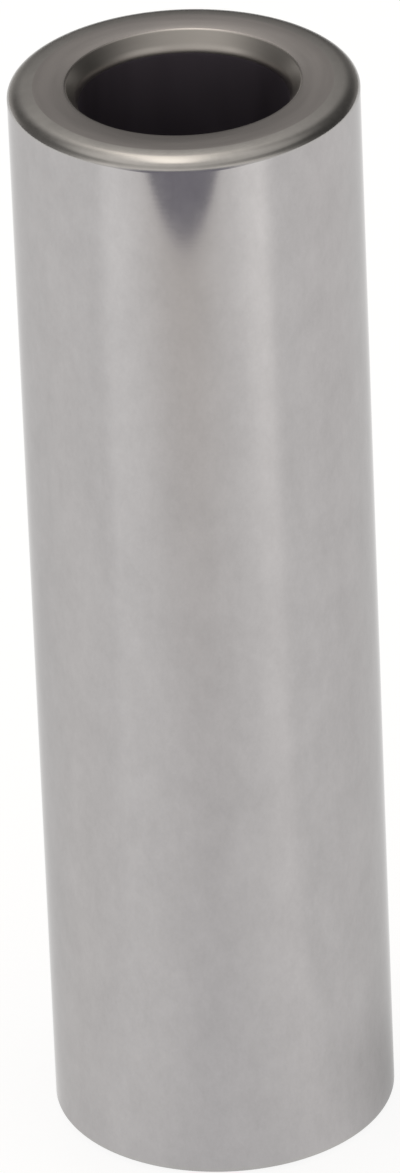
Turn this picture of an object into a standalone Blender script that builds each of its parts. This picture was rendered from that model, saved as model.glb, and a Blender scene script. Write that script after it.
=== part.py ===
"""A gudgeon pin, the hollow steel pin that joins a piston to its connecting rod.

The pin is one turned and ground piece: a thick tube with rounded outer edges,
flat end faces and a chamfer at each mouth of its bore. It stands on one end face
with its axis along +Z. The origin is the centre of that face. Units are metres.
"""
import math

import bmesh
import bpy

# Driving dimensions of the pin
PIN_DIAMETER = 0.022
PIN_LENGTH = 0.0732
WALL_THICKNESS = 0.0044
OUTER_EDGE_WIDTH = 0.0012
OUTER_EDGE_DEPTH = 0.0007
BORE_CHAMFER_WIDTH = 0.00075
BORE_CHAMFER_DEPTH = 0.0010

# Radii that follow from them
OUTER_RADIUS = PIN_DIAMETER / 2.0
BORE_RADIUS = OUTER_RADIUS - WALL_THICKNESS
BORE_MOUTH_RADIUS = BORE_RADIUS + BORE_CHAMFER_WIDTH

# How finely the round forms are divided
STEPS_AROUND = 144
STEPS_IN_EDGE = 6

# Finish of the ground steel
STEEL_COLOUR = (0.44, 0.43, 0.42, 1.0)
STEEL_METALLIC = 1.0
STEEL_ROUGHNESS = 0.15
SHARP_EDGE_ANGLE = math.radians(20.0)

FULL_TURN = 2.0 * math.pi
QUARTER_TURN = 0.5 * math.pi


def clear_scene():
    """Remove the objects that the scene starts with."""
    for scene_object in list(bpy.data.objects):
        bpy.data.objects.remove(scene_object, do_unlink=True)


def ground_steel():
    """The bare bright steel of the pin."""
    material = bpy.data.materials.new("ground_steel")
    material.use_nodes = True
    shader = material.node_tree.nodes["Principled BSDF"]
    shader.inputs["Base Color"].default_value = STEEL_COLOUR
    shader.inputs["Metallic"].default_value = STEEL_METALLIC
    shader.inputs["Roughness"].default_value = STEEL_ROUGHNESS
    material.diffuse_color = STEEL_COLOUR
    return material


def rounded_edge(centre_height, start_angle):
    """Points of an outer edge's quarter oval, run clockwise from start_angle."""
    points = []
    for step in range(STEPS_IN_EDGE + 1):
        angle = start_angle - QUARTER_TURN * step / STEPS_IN_EDGE
        points.append((
            OUTER_RADIUS - OUTER_EDGE_WIDTH * (1.0 - math.cos(angle)),
            centre_height + OUTER_EDGE_DEPTH * math.sin(angle),
        ))
    return points


def half_section():
    """The pin's wall as (radius, height) points, up the bore and down the outside."""
    section = [
        (BORE_MOUTH_RADIUS, 0.0),
        (BORE_RADIUS, BORE_CHAMFER_DEPTH),
        (BORE_RADIUS, PIN_LENGTH - BORE_CHAMFER_DEPTH),
        (BORE_MOUTH_RADIUS, PIN_LENGTH),
    ]
    section += rounded_edge(PIN_LENGTH - OUTER_EDGE_DEPTH, QUARTER_TURN)
    section += rounded_edge(OUTER_EDGE_DEPTH, 0.0)
    return section


def turned_mesh(name, section):
    """Turn a closed half section through a full circle about the Z axis."""
    work = bmesh.new()
    corners = [work.verts.new((radius, 0.0, height)) for radius, height in section]
    sides = [work.edges.new((corners[i - 1], corners[i])) for i in range(len(corners))]
    bmesh.ops.spin(
        work,
        geom=corners + sides,
        cent=(0.0, 0.0, 0.0),
        axis=(0.0, 0.0, 1.0),
        dvec=(0.0, 0.0, 0.0),
        angle=FULL_TURN,
        steps=STEPS_AROUND,
        use_merge=True,
        use_duplicate=False,
    )
    bmesh.ops.recalc_face_normals(work, faces=work.faces)
    mesh = bpy.data.meshes.new(name)
    work.to_mesh(mesh)
    work.free()
    mesh.shade_smooth()
    mesh.set_sharp_from_angle(angle=SHARP_EDGE_ANGLE)
    return mesh


def gudgeon_pin(material):
    """The whole pin, standing on its lower end face."""
    mesh = turned_mesh("gudgeon_pin", half_section())
    mesh.materials.append(material)
    pin = bpy.data.objects.new("gudgeon_pin", mesh)
    bpy.context.collection.objects.link(pin)
    return pin


def main():
    clear_scene()
    gudgeon_pin(ground_steel())


main()
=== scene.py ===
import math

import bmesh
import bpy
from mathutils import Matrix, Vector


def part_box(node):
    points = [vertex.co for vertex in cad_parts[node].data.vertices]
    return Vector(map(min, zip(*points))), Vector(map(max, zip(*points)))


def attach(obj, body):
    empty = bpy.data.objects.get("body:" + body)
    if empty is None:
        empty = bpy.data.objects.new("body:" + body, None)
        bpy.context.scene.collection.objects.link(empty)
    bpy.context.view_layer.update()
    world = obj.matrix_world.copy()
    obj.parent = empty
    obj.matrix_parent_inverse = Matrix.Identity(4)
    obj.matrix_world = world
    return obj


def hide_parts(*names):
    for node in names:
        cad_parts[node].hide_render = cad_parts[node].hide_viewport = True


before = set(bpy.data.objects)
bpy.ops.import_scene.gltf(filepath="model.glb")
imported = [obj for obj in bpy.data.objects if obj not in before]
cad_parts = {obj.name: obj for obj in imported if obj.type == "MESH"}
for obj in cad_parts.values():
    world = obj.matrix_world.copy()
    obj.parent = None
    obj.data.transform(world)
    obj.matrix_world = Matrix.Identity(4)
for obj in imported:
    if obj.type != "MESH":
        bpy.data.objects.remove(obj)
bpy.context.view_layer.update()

# A gudgeon pin of bright ground steel, standing on its end on white paper.
# The pin is one turned piece, so one mesh replaces its plain solid, with a finish of
# its own on the ground wall, the rounded edges, the end faces, the chamfers and the bore.
# Metres, +Z up.

# Sizes of the pin. The box of its solid gives the radius and the length.
PIN_LOW, PIN_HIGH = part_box("gudgeon_pin")
OUTER_RADIUS = (PIN_HIGH.x - PIN_LOW.x) / 2.0
WALL_THICKNESS = 0.0044
OUTER_EDGE_WIDTH = 0.0012
OUTER_EDGE_DEPTH = 0.0007
BORE_CHAMFER_WIDTH = 0.00075
BORE_CHAMFER_DEPTH = 0.0010
BORE_RADIUS = OUTER_RADIUS - WALL_THICKNESS
BORE_MOUTH_RADIUS = BORE_RADIUS + BORE_CHAMFER_WIDTH

# The narrow lead inside each outer edge, and how far it falls for its width
EDGE_LEAD = 0.0004
EDGE_LEAD_SLOPE = 0.09

# The polished-over corners at the bore's mouth and at the foot of its chamfer
MOUTH_ROUNDING = 0.0001
BORE_ROUNDING = 0.0004

# A narrow ring beside each rounded corner, which keeps the surface past it true
HOLDING_RING = 0.0001

# How finely the pin is divided
STEPS_AROUND = 512
STEPS_IN_EDGE = 12
STEPS_IN_ROUNDING = 6

# Points this near each other are looked up as one place, or merged into one
SAME_PLACE = 0.00001
MERGE_DISTANCE = 0.000001

# Finishes, as slots of the pin's mesh
WALL, EDGE, END_FACE, CHAMFER, BORE = range(5)

# The photograph's view: its frame in pixels, and where the pin's middle lies in it
PHOTO_WIDTH = 400
PHOTO_HEIGHT = 1173
PIN_MIDDLE_IN_PHOTO = (204.35, 596.82)
FOCAL_LENGTH_IN_PIXELS = 12133
CAMERA_DISTANCE = 0.7713
CAMERA_ELEVATION = math.radians(28.96)
CAMERA_ROLL = math.radians(-2.41)
SENSOR_WIDTH_MM = 36.0
NEAREST_SEEN = 0.01
FARTHEST_SEEN = 20.0


def new_mesh_object(name, work):
    """Turn a finished bmesh into an object at the origin."""
    mesh = bpy.data.meshes.new(name)
    work.to_mesh(mesh)
    work.free()
    made = bpy.data.objects.new(name, mesh)
    bpy.context.scene.collection.objects.link(made)
    return made


# The pin


def outer_edge(end_height, inward):
    """The rounded outer edge, from the flat face to the wall.

    A narrow lead falls at its own slope, and a quarter oval goes on from that slope.
    """
    first_turn = math.atan(EDGE_LEAD_SLOPE * OUTER_EDGE_WIDTH / OUTER_EDGE_DEPTH)
    lead_start = OUTER_RADIUS - OUTER_EDGE_WIDTH - EDGE_LEAD
    lead_end = OUTER_RADIUS - OUTER_EDGE_WIDTH * (1.0 - math.sin(first_turn))
    lead_fall = EDGE_LEAD_SLOPE * (lead_end - lead_start)
    oval_depth = (OUTER_EDGE_DEPTH - lead_fall) / math.cos(first_turn)
    points = [(lead_start, end_height)]
    for step in range(STEPS_IN_EDGE + 1):
        turn = first_turn + (math.pi / 2.0 - first_turn) * step / STEPS_IN_EDGE
        radius = OUTER_RADIUS - OUTER_EDGE_WIDTH * (1.0 - math.sin(turn))
        fall = OUTER_EDGE_DEPTH - oval_depth * math.cos(turn)
        points.append((radius, end_height + inward * fall))
    return points


def end_section(end_height, inward):
    """The wall's section at one end, from the bore to the outside."""
    return [
        (BORE_RADIUS, end_height + inward * (BORE_CHAMFER_DEPTH + BORE_ROUNDING + HOLDING_RING)),
        (BORE_RADIUS, end_height + inward * BORE_CHAMFER_DEPTH),
        (BORE_MOUTH_RADIUS, end_height),
        (BORE_MOUTH_RADIUS + MOUTH_ROUNDING + HOLDING_RING, end_height),
        *outer_edge(end_height, inward),
        (OUTER_RADIUS, end_height + inward * (OUTER_EDGE_DEPTH + HOLDING_RING)),
    ]


def ring_edges(work, radius, height):
    """The edges of one turned corner."""
    found = []
    for edge in work.edges:
        if all(
            abs(math.hypot(v.co.x, v.co.y) - radius) < SAME_PLACE
            and abs(v.co.z - height) < SAME_PLACE
            for v in edge.verts
        ):
            found.append(edge)
    return found


def round_ring(work, radius, height, size):
    """Round off one turned corner."""
    bmesh.ops.bevel(
        work,
        geom=ring_edges(work, radius, height),
        offset=size,
        offset_type="OFFSET",
        segments=STEPS_IN_ROUNDING,
        profile=0.5,
        affect="EDGES",
        material=-1,
        clamp_overlap=False,
    )


def finish_of(face):
    """Which finish a face of the pin has, from where it lies."""
    centre = face.calc_center_median()
    radius = math.hypot(centre.x, centre.y)
    from_end = min(centre.z - PIN_LOW.z, PIN_HIGH.z - centre.z)
    if radius < BORE_RADIUS + SAME_PLACE:
        return BORE
    if radius > OUTER_RADIUS - OUTER_EDGE_WIDTH - EDGE_LEAD:
        return EDGE if from_end < OUTER_EDGE_DEPTH else WALL
    if from_end < SAME_PLACE:
        return END_FACE
    return CHAMFER


def turned_pin(finishes):
    """The pin: its section turned about the axis, its corners rounded, its finishes set."""
    ends = ((PIN_LOW.z, 1.0), (PIN_HIGH.z, -1.0))
    lower_section, upper_section = [end_section(*end) for end in ends]
    section = list(reversed(lower_section)) + upper_section
    work = bmesh.new()
    ring = [work.verts.new((radius, 0.0, height)) for radius, height in section]
    sides = [work.edges.new((ring[i - 1], ring[i])) for i in range(len(ring))]
    bmesh.ops.spin(
        work,
        geom=ring + sides,
        cent=(0.0, 0.0, 0.0),
        axis=(0.0, 0.0, 1.0),
        dvec=(0.0, 0.0, 0.0),
        angle=math.tau,
        steps=STEPS_AROUND,
        use_merge=True,
        use_duplicate=False,
    )
    bmesh.ops.remove_doubles(work, verts=work.verts, dist=MERGE_DISTANCE)
    bmesh.ops.recalc_face_normals(work, faces=work.faces)
    for end_height, inward in ends:
        round_ring(work, BORE_MOUTH_RADIUS, end_height, MOUTH_ROUNDING)
        round_ring(work, BORE_RADIUS, end_height + inward * BORE_CHAMFER_DEPTH, BORE_ROUNDING)
    for face in work.faces:
        face.smooth = True
        face.material_index = finish_of(face)
    pin = new_mesh_object("turned_pin", work)
    for finish in finishes:
        pin.data.materials.append(finish)
    return pin


# Materials

# How steel reflects near a grazing angle, as a share of a mirror
STEEL_EDGE_TINT = (0.8, 0.8, 0.8, 1.0)

# The slight crown of the end faces: their slope at the bore's mouth, and the radius
# at which they would be level
CROWN_SLOPE = 0.11
CROWN_RADIUS = 0.0106

# How fast each pattern changes per metre: across the axis, and then along the axis on the
# wall and in the bore, or out from the axis on the end faces and chamfers
GRINDING_RINGS = (90.0, 9000.0)
WALL_BLOTCHES = (420.0, 260.0)
FACING_RINGS = (120.0, 6500.0)
FACE_BLOTCHES = (150.0, 1500.0)
DRAWING_LINES = (3500.0, 40.0)
BORE_BLOTCHES = (300.0, 60.0)

# How much fine detail the marks and the blotches have
MARK_DETAIL = 3.0
MARK_FINENESS = 0.6
BLOTCH_DETAIL = 2.0
WALL_BLOTCH_DETAIL = 5.0
WALL_BLOTCH_FINENESS = 0.8

# The part of the noise's range that is stretched to the whole
NOISE_LOW = 0.3
NOISE_HIGH = 0.7


class Nodes:
    """A node tree with short calls for adding nodes and joining them."""

    def __init__(self, owner):
        owner.use_nodes = True
        self.tree = owner.node_tree
        self.tree.nodes.clear()

    def add(self, kind, settings=None, **inputs):
        """Add a node. Each input, named or numbered, is a value or another node's output."""
        node = self.tree.nodes.new(kind)
        for name, value in (settings or {}).items():
            setattr(node, name, value)
        for name, value in inputs.items():
            name = name.replace("_", " ")
            socket = node.inputs[int(name)] if name.isdigit() else node.inputs[name]
            self.feed(socket, value)
        return node

    def feed(self, socket, value):
        """Set one input, or join it to another node's output."""
        if isinstance(value, bpy.types.NodeSocket):
            self.tree.links.new(value, socket)
        else:
            socket.default_value = value

    def math(self, operation, first, second=0.0, third=0.0):
        """One arithmetic step."""
        numbered = {"0": first, "1": second, "2": third}
        return self.add("ShaderNodeMath", {"operation": operation}, **numbered).outputs[0]

    def product(self, first, *others):
        """Several values multiplied."""
        for other in others:
            first = self.math("MULTIPLY", first, other)
        return first

    def triple_math(self, operation, **inputs):
        """One arithmetic step on three numbers at once, which may be below 0."""
        return self.add("ShaderNodeVectorMath", {"operation": operation}, **inputs).outputs[0]

    def between(self, share, first, second):
        """Part of the way from one triple to another."""
        step = [end - start for start, end in zip(first, second)]
        return self.triple_math("MULTIPLY_ADD", **{"0": step, "1": share, "2": first})

    def blend(self, share, first, second):
        """Mix two colours."""
        node = self.add("ShaderNodeMix", {"data_type": "RGBA"})
        for name, value in (("Factor_Float", share), ("A_Color", first), ("B_Color", second)):
            self.feed(next(s for s in node.inputs if s.identifier == name), value)
        return next(s for s in node.outputs if s.identifier == "Result_Color")

    def mix(self, share, first, second):
        """Mix two surfaces or backgrounds."""
        numbered = {"0": share, "1": first, "2": second}
        return self.add("ShaderNodeMixShader", **numbered).outputs[0]

    def place(self):
        """The point's place on the object, as separate x, y and z."""
        coordinate = self.add("ShaderNodeTexCoord").outputs["Object"]
        return self.add("ShaderNodeSeparateXYZ", Vector=coordinate).outputs

    def noise(self, x, y, third, rates, detail=MARK_DETAIL, fineness=MARK_FINENESS):
        """Noise drawn out in rings or lines, by two rates of change."""
        across_rate, third_rate = rates
        vector = self.add(
            "ShaderNodeCombineXYZ",
            X=self.math("MULTIPLY", x, across_rate),
            Y=self.math("MULTIPLY", y, across_rate),
            Z=self.math("MULTIPLY", third, third_rate),
        ).outputs[0]
        return self.add(
            "ShaderNodeTexNoise", Vector=vector, Scale=1.0, Detail=detail, Roughness=fineness
        ).outputs["Fac"]


def spread(nodes, value, low, high):
    """Stretch a noise to a range."""
    return nodes.add(
        "ShaderNodeMapRange",
        {"clamp": True},
        Value=value,
        From_Min=NOISE_LOW,
        From_Max=NOISE_HIGH,
        To_Min=low,
        To_Max=high,
    ).outputs[0]


def radius_of(nodes, x, y):
    """Distance from the pin's axis."""
    squares = nodes.math("ADD", nodes.math("MULTIPLY", x, x), nodes.math("MULTIPLY", y, y))
    return nodes.math("SQRT", squares)


def crown(nodes):
    """The slight crown of an end face, which falls from its outer edge to the bore's mouth."""
    x, y, _ = nodes.place()
    radius = radius_of(nodes, x, y)
    rise = nodes.math("MULTIPLY", radius, nodes.math("MULTIPLY_ADD", radius, -0.5, CROWN_RADIUS))
    height = nodes.math("MULTIPLY", rise, CROWN_SLOPE / (CROWN_RADIUS - BORE_MOUTH_RADIUS))
    return nodes.add("ShaderNodeBump", Strength=1.0, Distance=1.0, Height=height).outputs[0]


def steel(name, dark, light, smooth, rough, tool_marks, mark_depth, crowned=False):
    """Bare steel. tool_marks(nodes) gives its marks, and the blotches that shade it."""
    material = bpy.data.materials.new(name)
    nodes = Nodes(material)
    marks, blotches = tool_marks(nodes)
    bump = nodes.add("ShaderNodeBump", Strength=1.0, Distance=mark_depth, Height=marks)
    if crowned:
        nodes.feed(bump.inputs["Normal"], crown(nodes))
    shader = nodes.add(
        "ShaderNodeBsdfPrincipled",
        Base_Color=nodes.blend(spread(nodes, blotches, 0.0, 1.0), dark, light),
        Metallic=1.0,
        Roughness=spread(nodes, blotches, smooth, rough),
        Specular_Tint=STEEL_EDGE_TINT,
        Normal=bump.outputs[0],
    )
    nodes.add("ShaderNodeOutputMaterial", Surface=shader.outputs[0])
    return material


def grinding_rings(nodes):
    """Fine rings round the wall, and faint blotches over it."""
    x, y, z = nodes.place()
    rings = nodes.noise(x, y, z, GRINDING_RINGS)
    blotches = nodes.noise(x, y, z, WALL_BLOTCHES, WALL_BLOTCH_DETAIL, WALL_BLOTCH_FINENESS)
    return rings, blotches


def facing_rings(nodes):
    """Rings left by facing the end, round the axis."""
    x, y, _ = nodes.place()
    radius = radius_of(nodes, x, y)
    rings = nodes.noise(x, y, radius, FACING_RINGS)
    blotches = nodes.noise(x, y, radius, FACE_BLOTCHES, BLOTCH_DETAIL)
    return rings, blotches


def drawing_lines(nodes):
    """Lines along the bore."""
    x, y, z = nodes.place()
    lines = nodes.noise(x, y, z, DRAWING_LINES)
    blotches = nodes.noise(x, y, z, BORE_BLOTCHES, BLOTCH_DETAIL)
    return lines, blotches


def ground_wall():
    """The bright wall, finely ground."""
    return steel(
        "ground_wall",
        dark=(0.414, 0.402, 0.402, 1.0),
        light=(0.468, 0.454, 0.455, 1.0),
        smooth=0.06,
        rough=0.08,
        tool_marks=grinding_rings,
        mark_depth=2e-7,
    )


def polished_edge():
    """The outer edges, rounded over with a polishing cloth."""
    return steel(
        "polished_edge",
        dark=(0.43, 0.42, 0.41, 1.0),
        light=(0.48, 0.47, 0.46, 1.0),
        smooth=0.20,
        rough=0.26,
        tool_marks=grinding_rings,
        mark_depth=3e-7,
    )


def faced_end():
    """The flat ring of each end, turned and left duller than the wall."""
    return steel(
        "faced_end",
        dark=(0.395, 0.375, 0.37, 1.0),
        light=(0.435, 0.413, 0.408, 1.0),
        smooth=0.22,
        rough=0.26,
        tool_marks=facing_rings,
        mark_depth=8e-7,
        crowned=True,
    )


def chamfered_mouth():
    """The chamfers of the bore, turned."""
    return steel(
        "chamfered_mouth",
        dark=(0.42, 0.40, 0.38, 1.0),
        light=(0.46, 0.44, 0.42, 1.0),
        smooth=0.28,
        rough=0.34,
        tool_marks=facing_rings,
        mark_depth=8e-7,
    )


def drawn_and_shaded_bore():
    """The bore, dull as the tube was drawn. Its dark colour is partly the drawn steel's own and partly
    painted shade of the deep bore.
    """
    return steel(
        "drawn_and_shaded_bore",
        # Dark, partly as painted shade of the deep bore.
        dark=(0.138, 0.121, 0.147, 1.0),
        light=(0.176, 0.155, 0.187, 1.0),
        smooth=0.65,
        rough=0.75,
        tool_marks=drawing_lines,
        mark_depth=2e-6,
    )


def pin_finishes():
    """The five finishes, in the order of the slots."""
    return [ground_wall(), polished_edge(), faced_end(), chamfered_mouth(), drawn_and_shaded_bore()]


# The stage

WHITE = (1.0, 1.0, 1.0, 1.0)

# The paper: its half size, and its white as lit by the lamps, for the camera and in the steel
FLOOR_HALF_SIZE = 2.0
FLOOR_LIT_GREY = (0.30, 0.30, 0.30, 1.0)
FLOOR_OWN_WHITE = 0.835
FLOOR_IN_STEEL = 0.784

# A dark sheet lying on the paper in front of the pin, which glows grey and only the steel sees: a painted
# dark reflection.
# It is darkest at its middle angle, in degrees from straight in front, and lightens to both sides between
# its two side angles.
DARK_SHEET_DISTANCE = 0.1413
DARK_SHEET_TURN = math.radians(-3.0)
DARK_SHEET_HALF_WIDTH = 0.9
DARK_SHEET_DEPTH = 0.9
DARK_SHEET_LIFT = 0.0004
DARK_SHEET_GREY = (0.32, 0.31, 0.35, 1.0)
DARK_SHEET_SIDE_GREY = (0.85, 0.83, 0.82, 1.0)
DARK_SHEET_MIDDLE = -3.0
DARK_SHEET_SIDES = (20.0, 46.0)

# Painted pools of light and painted shade on the paper round the pin, which only the steel sees: the middle
# in degrees from the front, the widths on its left and right, and what each adds to the paper's white,
# as a colour, beside the pin and from POOLS_FULL_DISTANCE on.
FLOOR_POOLS = {
    "front_shade": (-4.0, 24.0, 23.0, (-0.075, -0.075, -0.065), (-0.165, -0.20, -0.235)),
    "left_pool": (-52.0, 7.0, 24.0, (0.05, 0.05, 0.05), (0.19, 0.19, 0.19)),
    "right_pool": (46.0, 18.0, 7.0, (0.06, 0.055, 0.055), (0.31, 0.30, 0.29)),
    "left_foot_pool": (-92.0, 24.0, 24.0, (0.04, 0.035, 0.03), (0.0, 0.0, 0.0)),
    "right_shade": (96.0, 34.0, 30.0, (-0.04, -0.04, -0.04), (-0.04, -0.05, -0.05)),
}
POOLS_FULL_DISTANCE = 0.14

# The paper's white in the steel, beside the pin and from POOLS_FULL_DISTANCE on: painted light, a little
# brighter far out than beside the pin
NEAR_WHITE = (1.03, 1.03, 1.03)
FAR_WHITE = (1.075, 1.075, 1.075)

# The painted shade beside the pin's foot, which only the steel sees: its middle and width in degrees, the
# distances at which it starts and is full, and how much it takes away
FOOT_SHADE_MIDDLE = 95.0
FOOT_SHADE_WIDTH = 32.0
FOOT_SHADE_REACH = (0.027, 0.012)
FOOT_SHADE_DEPTH = 0.27

# The soft box overhead
LAMP_PLACE = (-0.043, 0.375, 0.75)
LAMP_WIDTH = 0.12
LAMP_LENGTH = 0.75
LAMP_BRIGHTNESS = 1.25
LAMP_COLOUR = (1.0, 0.92, 0.80)

# The room's colour, and its level on the floor as a share of white
ROOM_COLOUR = (1.0, 0.96, 0.91, 1.0)
ROOM_ON_FLOOR = 0.55

# The room as the steel sees it, in shares of white, by how far a direction points to the
# right, away and up. Each pair is where a soft step starts and where it is full. A tilt is
# how much darker a light is to the right.
ROOM_LEVEL = 0.11
ROOM_TILT = 0.06

CEILING_LEVEL = 0.68
CEILING_TILT = 0.30
CEILING_UP = (0.69, 0.92)

FRONT_LEVEL = 0.595
FRONT_MIDDLE = -0.43
FRONT_LEFT_WIDTH = 0.63
FRONT_RIGHT_WIDTH = 1.37
FRONT_AWAY = (0.28, -0.63)
LOW_FRONT_GAIN = 0.35
LOW_FRONT_UP = (0.6, 0.25)

FRONT_SIDES_LEVEL = 0.22
FRONT_SIDES_MIDDLE = -0.2
FRONT_SIDES_ASIDE = (0.4, 0.6)
FRONT_SIDES_UP = (0.62, 0.4)
FRONT_SIDES_AWAY = (-0.3, -0.6)

BACK_LEVEL = 0.525
BACK_FROM_LEFT = (-0.48, -0.08)
BACK_FROM_RIGHT = (0.36, 0.02)
BACK_UP = (0.0, 0.9)
BACK_AWAY = (-0.1, 0.3)

LAMP_GLOW_LEVEL = 0.40
LAMP_GLOW_MIDDLE = -0.05
LAMP_GLOW_WIDTH = 0.16
LAMP_GLOW_UP = (0.45, 0.85)

LOW_LEFT_LEVEL = 0.40
LOW_LEFT_SIDE = (-0.05, -0.3)
LOW_RIGHT_LEVEL = 0.26
LOW_RIGHT_SIDE = (0.1, 0.35)
LOW_BACK_UP = (0.4, 0.1)
LOW_BACK_AWAY = (0.5, 0.75)


def bell(nodes, value, middle, width):
    """A soft bump of height 1 over one value."""
    offset = nodes.math("DIVIDE", nodes.math("SUBTRACT", value, middle), width)
    return nodes.math("EXPONENT", nodes.product(offset, offset, -1.0))


def two_sided_bell(nodes, value, middle, left_width, right_width):
    """A bell with a width of its own on each side."""
    past = nodes.math("GREATER_THAN", value, middle)
    width = nodes.math("MULTIPLY_ADD", past, right_width - left_width, left_width)
    return bell(nodes, value, middle, width)


def ramp(nodes, value, limits):
    """A soft step, from 0 at the first limit to 1 at the second."""
    start, full = limits
    return nodes.add(
        "ShaderNodeMapRange",
        {"interpolation_type": "SMOOTHSTEP"},
        Value=value,
        From_Min=start,
        From_Max=full,
        To_Min=0.0,
        To_Max=1.0,
    ).outputs[0]


def aside_from(nodes, value, middle):
    """How far a value is from a middle, to either side."""
    return nodes.math("ABSOLUTE", nodes.math("SUBTRACT", value, middle))


def degrees_from_front(nodes, x, y):
    """Which way a point lies from the pin, to the right of straight in front."""
    turn = nodes.math("ARCTAN2", x, nodes.math("MULTIPLY", y, -1.0))
    return nodes.math("MULTIPLY", turn, 180.0 / math.pi)


def floor_colour(nodes):
    """The paper as the steel sees it, with its painted pools of light and painted shade."""
    x, y, _ = nodes.place()
    angle = degrees_from_front(nodes, x, y)
    distance = radius_of(nodes, x, y)
    share = nodes.math("DIVIDE", distance, POOLS_FULL_DISTANCE)
    far = nodes.math("MINIMUM", nodes.math("MULTIPLY", share, share), 1.0)
    colour = nodes.between(far, NEAR_WHITE, FAR_WHITE)
    # Each pool adds painted light, and each shade painted shade, to the paper's white in the steel.
    for middle, left_width, right_width, near_added, far_added in FLOOR_POOLS.values():
        lobe = two_sided_bell(nodes, angle, middle, left_width, right_width)
        added = nodes.triple_math("SCALE", **{"0": nodes.between(far, near_added, far_added), "Scale": lobe})
        colour = nodes.triple_math("ADD", **{"0": colour, "1": added})
    # A painted shade on the paper beside the pin's foot.
    beside_foot = bell(nodes, angle, FOOT_SHADE_MIDDLE, FOOT_SHADE_WIDTH)
    shade = nodes.product(beside_foot, ramp(nodes, distance, FOOT_SHADE_REACH))
    left_over = nodes.math("MULTIPLY_ADD", shade, -FOOT_SHADE_DEPTH, 1.0)
    return nodes.triple_math("SCALE", **{"0": colour, "Scale": left_over})


def paper():
    """White paper, lit by the lamps. It is plain white to the camera, and has its painted pools of light and
    shade in the steel.
    """
    material = bpy.data.materials.new("white_paper")
    nodes = Nodes(material)
    path = nodes.add("ShaderNodeLightPath").outputs
    lit = nodes.add("ShaderNodeBsdfDiffuse", Color=FLOOR_LIT_GREY).outputs[0]
    white = nodes.add("ShaderNodeEmission", Color=WHITE, Strength=FLOOR_OWN_WHITE).outputs[0]
    pools = nodes.add("ShaderNodeEmission", Color=floor_colour(nodes), Strength=FLOOR_IN_STEEL).outputs[0]
    seen = nodes.math("MAXIMUM", path["Is Camera Ray"], path["Is Transmission Ray"])
    glow = nodes.mix(seen, pools, white)
    glowing = nodes.add("ShaderNodeAddShader", **{"0": lit, "1": glow}).outputs[0]
    shows = nodes.math("MAXIMUM", seen, path["Is Glossy Ray"])
    nodes.add("ShaderNodeOutputMaterial", Surface=nodes.mix(shows, lit, glowing))
    return material


def dark_sheet_glow():
    """A painted dark reflection for the steel: the sheet glows dark straight in front of the pin, and
    lighter to both sides.
    """
    material = bpy.data.materials.new("dark_sheet_glow")
    nodes = Nodes(material)
    x, y, _ = nodes.place()
    aside = aside_from(nodes, degrees_from_front(nodes, x, y), DARK_SHEET_MIDDLE)
    colour = nodes.blend(ramp(nodes, aside, DARK_SHEET_SIDES), DARK_SHEET_GREY, DARK_SHEET_SIDE_GREY)
    glow = nodes.add("ShaderNodeEmission", Color=colour, Strength=1.0)
    nodes.add("ShaderNodeOutputMaterial", Surface=glow.outputs[0])
    return material


def flat_sheet(name, half_x, near_y, far_y, height):
    """A flat rectangular sheet, facing up."""
    work = bmesh.new()
    bmesh.ops.create_grid(work, x_segments=1, y_segments=1, size=1.0)
    bmesh.ops.scale(work, vec=(half_x, (far_y - near_y) / 2.0, 1.0), verts=work.verts)
    bmesh.ops.translate(work, vec=(0.0, (far_y + near_y) / 2.0, height), verts=work.verts)
    return new_mesh_object(name, work)


def lay_floor():
    """The paper under the pin, and a glowing dark sheet on it in front of the pin, which only the steel
    sees, as a painted dark reflection.
    """
    floor = flat_sheet("paper_floor", FLOOR_HALF_SIZE, -FLOOR_HALF_SIZE, FLOOR_HALF_SIZE, 0.0)
    floor.data.materials.append(paper())
    # The dark sheet glows grey for the steel alone: a painted dark reflection.
    sheet_far_side = -DARK_SHEET_DISTANCE
    sheet_near_side = sheet_far_side - DARK_SHEET_DEPTH
    dark_sheet = flat_sheet("dark_reflection_sheet", DARK_SHEET_HALF_WIDTH, sheet_near_side, sheet_far_side, DARK_SHEET_LIFT)
    dark_sheet.data.transform(Matrix.Rotation(DARK_SHEET_TURN, 4, "Z"))
    dark_sheet.data.materials.append(dark_sheet_glow())
    dark_sheet.visible_camera = False
    dark_sheet.visible_diffuse = False
    dark_sheet.visible_shadow = False


def hang_soft_box():
    """A narrow warm soft box overhead, reaching back over the pin.

    At a brightness of 1 it would look white to the steel.
    """
    lamp = bpy.data.lights.new("overhead_box", "AREA")
    lamp.shape = "RECTANGLE"
    lamp.size = LAMP_WIDTH
    lamp.size_y = LAMP_LENGTH
    lamp.energy = LAMP_BRIGHTNESS * math.pi * LAMP_WIDTH * LAMP_LENGTH
    lamp.color = LAMP_COLOUR
    made = bpy.data.objects.new("overhead_box", lamp)
    made.location = LAMP_PLACE
    made.rotation_euler = Vector((0.0, 0.0, -1.0)).to_track_quat("-Z", "Y").to_euler()
    made.visible_camera = False
    bpy.context.scene.collection.objects.link(made)


def ceiling_light(nodes, sideways, up):
    """The bright ceiling."""
    level = nodes.math("MULTIPLY_ADD", sideways, -CEILING_TILT, CEILING_LEVEL)
    return nodes.product(ramp(nodes, up, CEILING_UP), level)


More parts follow.
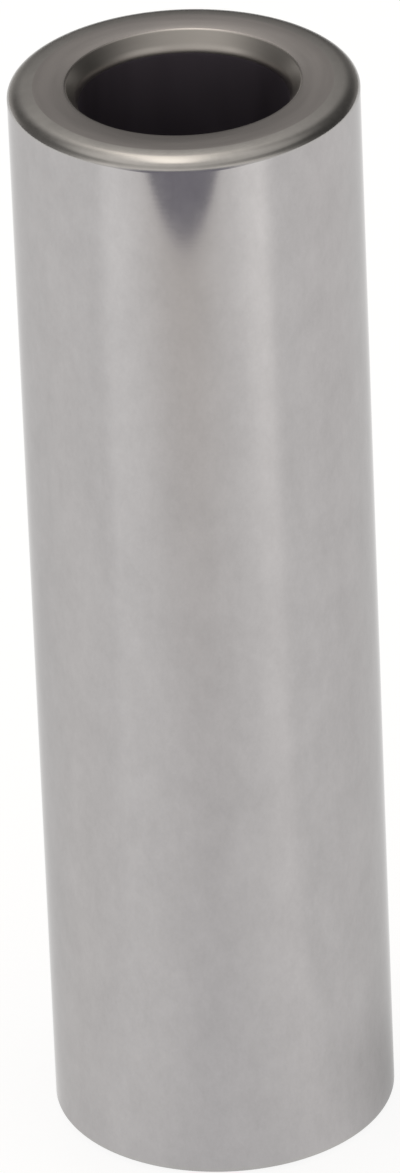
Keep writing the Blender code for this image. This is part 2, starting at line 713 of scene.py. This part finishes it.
def front_light(nodes, sideways, away, up):
    """The fair light in front of the pin, stronger low down and at both low sides."""
    across = two_sided_bell(nodes, sideways, FRONT_MIDDLE, FRONT_LEFT_WIDTH, FRONT_RIGHT_WIDTH)
    low_sides = nodes.product(
        ramp(nodes, aside_from(nodes, sideways, FRONT_SIDES_MIDDLE), FRONT_SIDES_ASIDE),
        ramp(nodes, up, FRONT_SIDES_UP),
        ramp(nodes, away, FRONT_SIDES_AWAY),
        FRONT_SIDES_LEVEL,
    )
    level = nodes.math("ADD", nodes.product(across, FRONT_LEVEL), low_sides)
    lower = nodes.math("MULTIPLY_ADD", ramp(nodes, up, LOW_FRONT_UP), LOW_FRONT_GAIN, 1.0)
    return nodes.product(ramp(nodes, away, FRONT_AWAY), level, lower)


def back_light(nodes, sideways, up, behind):
    """The middle of the room behind the pin, brighter higher up."""
    middle = nodes.product(ramp(nodes, sideways, BACK_FROM_LEFT), ramp(nodes, sideways, BACK_FROM_RIGHT))
    return nodes.product(behind, middle, ramp(nodes, up, BACK_UP), BACK_LEVEL)


def lamp_glow(nodes, sideways, up, behind):
    """The soft glow round the overhead lamp."""
    near_lamp = bell(nodes, sideways, LAMP_GLOW_MIDDLE, LAMP_GLOW_WIDTH)
    return nodes.product(near_lamp, ramp(nodes, up, LAMP_GLOW_UP), behind, LAMP_GLOW_LEVEL)


def low_back_light(nodes, sideways, away, up):
    """Low light behind the pin at both sides, which lifts the two ends of its rim."""
    left = nodes.product(ramp(nodes, sideways, LOW_LEFT_SIDE), LOW_LEFT_LEVEL)
    right = nodes.product(ramp(nodes, sideways, LOW_RIGHT_SIDE), LOW_RIGHT_LEVEL)
    low_behind = nodes.product(ramp(nodes, up, LOW_BACK_UP), ramp(nodes, away, LOW_BACK_AWAY))
    return nodes.product(nodes.math("ADD", left, right), low_behind)


def room_level(nodes):
    """The room as the steel sees it.

    The ceiling, the front and the back don't add up: the brightest of them counts, and the
    other lights are added to it.
    """
    direction = nodes.add("ShaderNodeTexCoord").outputs["Generated"]
    sideways, away, up = nodes.add("ShaderNodeSeparateXYZ", Vector=direction).outputs
    behind = ramp(nodes, away, BACK_AWAY)
    ceiling = ceiling_light(nodes, sideways, up)
    front = front_light(nodes, sideways, away, up)
    back = back_light(nodes, sideways, up, behind)
    brightest = nodes.math("MAXIMUM", nodes.math("MAXIMUM", ceiling, front), back)
    level = nodes.math("MULTIPLY_ADD", sideways, -ROOM_TILT, ROOM_LEVEL)
    glow = lamp_glow(nodes, sideways, up, behind)
    low_back = low_back_light(nodes, sideways, away, up)
    for part in (brightest, glow, low_back):
        level = nodes.math("ADD", level, part)
    return level


def surround():
    """A white surround for the camera, the soft room for the steel, and plain light for the floor."""
    world = bpy.data.worlds.new("studio")
    bpy.context.scene.world = world
    nodes = Nodes(world)
    path = nodes.add("ShaderNodeLightPath").outputs
    white = nodes.add("ShaderNodeBackground", Color=WHITE, Strength=1.0).outputs[0]
    in_steel = nodes.add("ShaderNodeBackground", Color=ROOM_COLOUR, Strength=room_level(nodes)).outputs[0]
    on_floor = nodes.add("ShaderNodeBackground", Color=ROOM_COLOUR, Strength=ROOM_ON_FLOOR).outputs[0]
    unseen = nodes.mix(path["Is Glossy Ray"], on_floor, in_steel)
    seen = nodes.math("MAXIMUM", path["Is Camera Ray"], path["Is Transmission Ray"])
    nodes.add("ShaderNodeOutputWorld", Surface=nodes.mix(seen, unseen, white))


# The camera


def place_camera():
    """The photograph's camera: it faces the pin's middle, then turns to set it in the frame."""
    middle = (PIN_LOW + PIN_HIGH) / 2.0
    forward = Vector((0.0, math.cos(CAMERA_ELEVATION), -math.sin(CAMERA_ELEVATION)))
    facing = forward.to_track_quat("-Z", "Y").to_matrix()
    middle_x, middle_y = PIN_MIDDLE_IN_PHOTO
    pan = math.atan((middle_x - PHOTO_WIDTH / 2.0) / FOCAL_LENGTH_IN_PIXELS)
    tilt = math.atan((middle_y - PHOTO_HEIGHT / 2.0) / FOCAL_LENGTH_IN_PIXELS)
    aim = Matrix.Rotation(pan, 3, "Y") @ Matrix.Rotation(tilt, 3, "X")
    roll = Matrix.Rotation(CAMERA_ROLL, 3, "Z")
    lens = bpy.data.cameras.new("photo_view")
    lens.sensor_width = SENSOR_WIDTH_MM
    lens.lens = FOCAL_LENGTH_IN_PIXELS / PHOTO_HEIGHT * SENSOR_WIDTH_MM
    lens.clip_start = NEAREST_SEEN
    lens.clip_end = FARTHEST_SEEN
    camera = bpy.data.objects.new("photo_view", lens)
    camera.location = middle - forward * CAMERA_DISTANCE
    camera.rotation_euler = (facing @ aim @ roll).to_euler()
    bpy.context.scene.collection.objects.link(camera)
    bpy.context.scene.camera = camera


place_camera()
pin = turned_pin(pin_finishes())
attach(pin, "root")
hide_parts("gudgeon_pin")
lay_floor()
hang_soft_box()
surround()
bpy.context.scene.view_settings.view_transform = "Standard"
